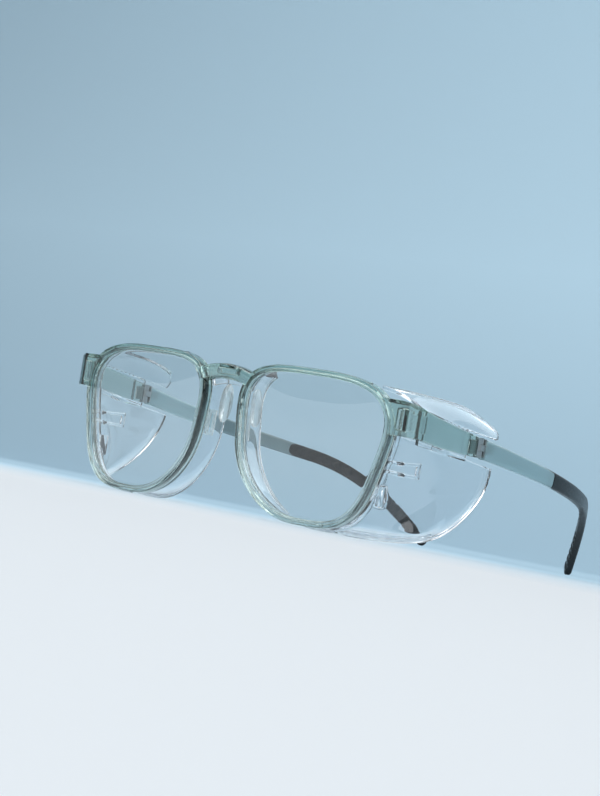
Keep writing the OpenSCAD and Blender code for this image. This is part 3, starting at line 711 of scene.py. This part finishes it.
# ---------------------------------------------------------------- materials
class Nodes:
    def __init__(self, name):
        self.material = bpy.data.materials.new(name)
        self.material.use_nodes = True
        self.tree = self.material.node_tree
        self.tree.nodes.clear()
        self.out = self.add("ShaderNodeOutputMaterial")

    def add(self, kind, values=None, **settings):
        node = self.tree.nodes.new(kind)
        for key, value in settings.items():
            setattr(node, key, value)
        for key, value in (values or {}).items():
            node.inputs[key].default_value = value
        return node

    def link(self, source, target):
        self.tree.links.new(source, target)

    def place(self):
        return self.add("ShaderNodeTexCoord").outputs["Object"]

    def noise(self, scale, detail=3.0, rough=0.5, source=None):
        node = self.add("ShaderNodeTexNoise", {"Scale": scale, "Detail": detail, "Roughness": rough})
        self.link(source or self.place(), node.inputs["Vector"])
        return node.outputs["Fac"]

    def ramp(self, source, stops):
        node = self.add("ShaderNodeValToRGB")
        band = node.color_ramp
        while len(band.elements) < len(stops):
            band.elements.new(0.5)
        for element, (at, colour) in zip(band.elements, stops):
            element.position = at
            element.color = (*colour, 1) if hasattr(colour, "__len__") else (colour,) * 3 + (1,)
        self.link(source, node.inputs["Fac"])
        return node.outputs["Color"]

    def remap(self, source, a, b, low=0.0, high=1.0):
        node = self.add("ShaderNodeMapRange",
                        {"From Min": a, "From Max": b, "To Min": low, "To Max": high})
        self.link(source, node.inputs["Value"])
        return node.outputs["Result"]

    def bump(self, height, strength, distance):
        node = self.add("ShaderNodeBump", {"Strength": strength, "Distance": distance})
        self.link(height, node.inputs["Height"])
        return node.outputs["Normal"]


def clear_plastic(name, tint, ior=1.5, rough=0.02, shadow=(0.9, 0.93, 0.95), ripple=0.0,
                  high_tint=None, absorb=None, milk=0.0, gloss=0.5):
    """Clear moulded plastic: true refraction, a faint flow ripple and light soft shadows.
    milk is the share of light that the plastic scatters and does not pass, and gloss how
    strongly its surface reflects (0.5 for bare plastic, less for a coated lens)."""
    n = Nodes(name)
    shader = n.add("ShaderNodeBsdfPrincipled", {
        "Base Color": (*tint, 1), "Roughness": rough, "IOR": ior, "Transmission Weight": 1.0 - milk,
        "Specular IOR Level": gloss})
    if high_tint is not None:
        split = n.add("ShaderNodeSeparateXYZ")
        n.link(n.place(), split.inputs["Vector"])
        level = n.remap(split.outputs["Z"], 0.012, 0.044)
        n.link(n.ramp(level, [(0.0, tint), (0.55, tuple((a + b) / 2 for a, b in zip(tint, high_tint))),
                              (1.0, high_tint)]), shader.inputs["Base Color"])
    rough_map = n.remap(n.noise(180, 2), 0.35, 0.75, rough, rough * 2.5 + 0.004)
    n.link(rough_map, shader.inputs["Roughness"])
    if ripple:
        n.link(n.bump(n.noise(260, 2), ripple, 0.0004), shader.inputs["Normal"])
    see = n.add("ShaderNodeBsdfTransparent", {"Color": (*shadow, 1)})
    rays = n.add("ShaderNodeLightPath")
    mix = n.add("ShaderNodeMixShader")
    n.link(rays.outputs["Is Shadow Ray"], mix.inputs["Fac"])
    n.link(shader.outputs[0], mix.inputs[1])
    n.link(see.outputs[0], mix.inputs[2])
    n.link(mix.outputs[0], n.out.inputs["Surface"])
    if absorb is not None:
        colour, density = absorb
        volume = n.add("ShaderNodeVolumeAbsorption", {"Color": (*colour, 1), "Density": density})
        n.link(volume.outputs[0], n.out.inputs["Volume"])
    return n.material


def rubber(name):
    """Dark grey soft-touch rubber with a fine grain and slightly worn, lighter patches."""
    n = Nodes(name)
    shader = n.add("ShaderNodeBsdfPrincipled", {"IOR": 1.36, "Coat Weight": 0.05, "Coat Roughness": 0.2})
    mottle = n.ramp(n.noise(420, 4), [(0.3, (0.006, 0.0065, 0.007)), (0.7, (0.012, 0.013, 0.014))])
    n.link(mottle, shader.inputs["Base Color"])
    n.link(n.remap(n.noise(900, 3), 0.3, 0.7, 0.26, 0.4), shader.inputs["Roughness"])
    n.link(n.bump(n.noise(5200, 2), 0.25, 0.00004), shader.inputs["Normal"])
    n.link(shader.outputs[0], n.out.inputs["Surface"])
    return n.material


def metal(name, colour, rough):
    """Machined metal with fine turning marks along its height."""
    n = Nodes(name)
    shader = n.add("ShaderNodeBsdfPrincipled", {"Metallic": 0.75})
    stretch = n.add("ShaderNodeMapping", {"Scale": (1.0, 1.0, 14.0)})
    n.link(n.place(), stretch.inputs["Vector"])
    marks = n.noise(900, 3, source=stretch.outputs["Vector"])
    dark = tuple(c * 0.8 for c in colour)
    n.link(n.ramp(marks, [(0.35, dark), (0.65, colour)]), shader.inputs["Base Color"])
    n.link(n.remap(marks, 0.3, 0.7, rough - 0.06, rough + 0.08), shader.inputs["Roughness"])
    n.link(n.bump(marks, 0.2, 0.00003), shader.inputs["Normal"])
    n.link(shader.outputs[0], n.out.inputs["Surface"])
    return n.material


TEAL = clear_plastic("teal_plastic", (0.975, 0.99, 0.965), 1.6, 0.0, (0.6, 0.68, 0.66), 0.0,
                     (0.70, 0.81, 0.76), ((0.10, 0.42, 0.32), 95))
TEMPLE_TEAL = clear_plastic("temple_teal", (0.45, 0.61, 0.64), 1.5, 0.05, (0.5, 0.6, 0.62), 0.04,
                            milk=0.5)
LENS = clear_plastic("clear_lens", (0.965, 0.98, 0.975), 1.5, 0.0, (0.94, 0.96, 0.97), gloss=0.03)
SHIELD = clear_plastic("clear_shield", (0.955, 0.97, 0.985), 1.5, 0.0, (0.88, 0.91, 0.94), 0.02,
                       milk=0.03, gloss=0.3)
PAD = clear_plastic("soft_pad", (0.93, 0.96, 0.95), 1.42, 0.12, (0.8, 0.86, 0.87), 0.08, milk=0.2)
RUBBER = rubber("grey_rubber")
STEEL = metal("hinge_metal", (0.50, 0.53, 0.53), 0.36)
SCREW = metal("screw_metal", (0.66, 0.68, 0.69), 0.26)


def dress(obj, material):
    obj.data.materials.clear()
    obj.data.materials.append(material)


def piece(obj, material, body, slot, *nodes):
    dress(obj, material)
    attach(obj, body)
    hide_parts(*nodes)


# ---------------------------------------------------------------- build everything
piece(build_front(), TEAL, "front", "teal_plastic", "front_frame")
piece(build_shroud(), SHIELD, "front", "clear_shield", "inner_shroud")
for side, left in (("left", True), ("right", False)):
    lens = lens_solid()
    lens = (lens if left else lens.mirrored()).object(f"lens_{side}_visual")
    smooth_shade(lens)
    piece(lens, LENS, "front", "clear_lens", f"lens_{side}")
    piece(build_shield(f"side_shield_{side}_visual", left), SHIELD, "front", "clear_shield",
          f"side_shield_{side}")
    piece(build_pad(f"nose_pad_{side}_visual", left), PAD, "front", "soft_pad", f"nose_pad_{side}")
    piece(build_temple(f"temple_{side}_visual", left), TEMPLE_TEAL, f"temple_{side}", "temple_plastic",
          f"temple_{side}")
    piece(build_sleeve(f"temple_sleeve_{side}_visual", left), RUBBER, f"temple_{side}", "grey_rubber",
          f"temple_sleeve_{side}")
    for kind, material, width in (("nose_pad_clip", PAD, 0.12), ("front_hinge", STEEL, 0.1),
                                  ("rear_hinge", STEEL, 0.1), ("hinge_screw", SCREW, 0.12)):
        node = frame["nodes"][f"{kind}_{side}"]
        dress(node, material)
        edge = node.modifiers.new("edge", "BEVEL")
        edge.width, edge.segments, edge.limit_method = width * MM, 2, "ANGLE"

# ---------------------------------------------------------------- floor, light and camera
low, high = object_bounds()


FLOOR_FRONT, FLOOR_BACK, CURVE, WALL_TOP, HALF_WIDTH = -12, 1.1, 0.9, 3.0, 12    # metres


def floor():
    """Table that turns blue far behind and curves up into a backdrop, all one sheet. Its pale front is
    painted light, and the darker blue at the back is painted shade that brings the lit floor down to the
    wall's brightness.
    """
    n = Nodes("table_with_painted_light")
    shader = n.add("ShaderNodeBsdfPrincipled", {"Roughness": 0.9, "Specular IOR Level": 0.0})
    split = n.add("ShaderNodeSeparateXYZ")
    n.link(n.place(), split.inputs["Vector"])
    back = n.remap(split.outputs["Y"], -0.25, 0.25)
    # painted light and shade along Y: the table's blue is painted pale near the front and darker behind,
    # so the lit floor meets the wall's brightness
    table = n.ramp(back, [(0.0, (0.82, 0.84, 0.855)), (0.7, (0.42, 0.56, 0.65)),
                          (1.0, (0.33, 0.45, 0.53))])
    mix = n.add("ShaderNodeMix", data_type="RGBA")
    n.link(n.remap(split.outputs["Z"], 0.0, 0.35), mix.inputs["Factor"])
    n.link(table, mix.inputs["A"])
    mix.inputs["B"].default_value = (0.48, 0.64, 0.74, 1)
    n.link(mix.outputs["Result"], shader.inputs["Base Color"])
    n.link(shader.outputs[0], n.out.inputs["Surface"])
    rows = []
    for t in np.linspace(0, 1, 60):
        if t < 0.5:
            rows.append((FLOOR_FRONT + (FLOOR_BACK - FLOOR_FRONT) * t / 0.5, 0.0))
        else:
            a = (t - 0.5) / 0.5 * math.pi / 2
            rows.append((FLOOR_BACK + CURVE * math.sin(a), CURVE * (1 - math.cos(a))))
    rows.append((FLOOR_BACK + CURVE, WALL_TOP))
    points = [(x, y, z) for y, z in rows for x in (-HALF_WIDTH, HALF_WIDTH)]
    faces = [[2 * i, 2 * i + 1, 2 * i + 3, 2 * i + 2] for i in range(len(rows) - 1)]
    mesh = bpy.data.meshes.new("table")
    mesh.from_pydata(points, [], faces)
    made = bpy.data.objects.new("table", mesh)
    bpy.context.scene.collection.objects.link(made)
    smooth_shade(made)
    dress(made, n.material)
    made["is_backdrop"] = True


def area_light(name, place, target, size, power, colour=(1, 1, 1)):
    light = bpy.data.lights.new(name, "AREA")
    light.shape, light.size, light.size_y = "RECTANGLE", size[0], size[1]
    light.energy, light.color = power, colour
    made = bpy.data.objects.new(name, light)
    made.location = place
    made.rotation_euler = (Vector(target) - Vector(place)).to_track_quat("-Z", "Y").to_euler()
    bpy.context.scene.collection.objects.link(made)


floor()
middle = (low + high) / 2
area_light("key", (-0.5, -0.5, 1.1), middle, (0.9, 0.9), 3.5)
area_light("fill", (0.9, -0.9, 0.6), middle, (0.5, 0.9), 2.5, (0.96, 0.98, 1))
area_light("rim", (0.3, 0.9, 0.8), middle, (1.2, 0.8), 3)
area_light("backdrop", (-0.6, -0.1, 1.6), (-1.2, 2.0, 1.1), (3.0, 1.2), 40, (0.96, 0.99, 1))


def studio_world():
    """Soft sky of a studio: bright overhead and behind, dark at the sides and in front."""
    world = bpy.data.worlds.new("studio")
    bpy.context.scene.world = world
    world.use_nodes = True
    tree = world.node_tree
    back = tree.nodes["Background"]
    place = tree.nodes.new("ShaderNodeTexCoord")
    split = tree.nodes.new("ShaderNodeSeparateXYZ")
    tree.links.new(place.outputs["Generated"], split.inputs["Vector"])
    shade = tree.nodes.new("ShaderNodeMapRange")
    shade.inputs["From Min"].default_value, shade.inputs["From Max"].default_value = 0.25, 0.6
    shade.interpolation_type = "SMOOTHSTEP"
    tree.links.new(split.outputs["Y"], shade.inputs["Value"])
    lift = tree.nodes.new("ShaderNodeMapRange")
    lift.inputs["From Min"].default_value, lift.inputs["From Max"].default_value = 0.55, 0.85
    tree.links.new(split.outputs["Z"], lift.inputs["Value"])
    most = tree.nodes.new("ShaderNodeMath")
    most.operation = "MAXIMUM"
    tree.links.new(shade.outputs["Result"], most.inputs[0])
    tree.links.new(lift.outputs["Result"], most.inputs[1])
    mix = tree.nodes.new("ShaderNodeMix")
    mix.data_type = "RGBA"
    mix.inputs["A"].default_value = (0.012, 0.014, 0.016, 1)
    mix.inputs["B"].default_value = (0.92, 0.96, 1.0, 1)
    tree.links.new(most.outputs["Value"], mix.inputs["Factor"])
    tree.links.new(mix.outputs["Result"], back.inputs["Color"])
    back.inputs["Strength"].default_value = 1.2


studio_world()
bpy.context.scene.view_settings.view_transform = "Standard"

# Camera: its place and its right, down and forward directions in eyewear coordinates
CAMERA_PLACE = (539.07, -556.30, -1.06)
CAMERA_RIGHT = (0.72965, 0.66489, 0.15981)
CAMERA_DOWN = (0.10517, 0.12181, -0.98697)
CAMERA_AHEAD = (-0.67569, 0.73694, 0.01895)
FRAME_LONG, FOCAL_PIXELS, SENSOR = 796, 2514.98, 36.0
RAISE = math.radians(0.65)       # lifts the eye a little above the table it stands on

lens = bpy.data.cameras.new("camera")
lens.sensor_width = SENSOR
lens.lens = FOCAL_PIXELS * SENSOR / FRAME_LONG
lens.clip_start, lens.clip_end = 0.01, 20
camera = bpy.data.objects.new("camera", lens)
axes = TIP_MATRIX @ np.array([CAMERA_RIGHT, CAMERA_DOWN, CAMERA_AHEAD]).T
turn = Matrix(np.column_stack([axes[:, 0], -axes[:, 1], -axes[:, 2]]).tolist())
spot = Vector(to_row([CAMERA_PLACE])[0])
orbit_axis = Vector((-axes[1, 2], axes[0, 2], 0)).normalized()
lift = Matrix.Rotation(RAISE, 3, orbit_axis)
if (lift @ (spot - middle)).z < (spot - middle).z:
    lift = Matrix.Rotation(-RAISE, 3, orbit_axis)
camera.matrix_world = Matrix.Translation(middle + lift @ (spot - middle)) @ (lift @ turn).to_4x4()
bpy.context.scene.collection.objects.link(camera)
bpy.context.scene.camera = camera
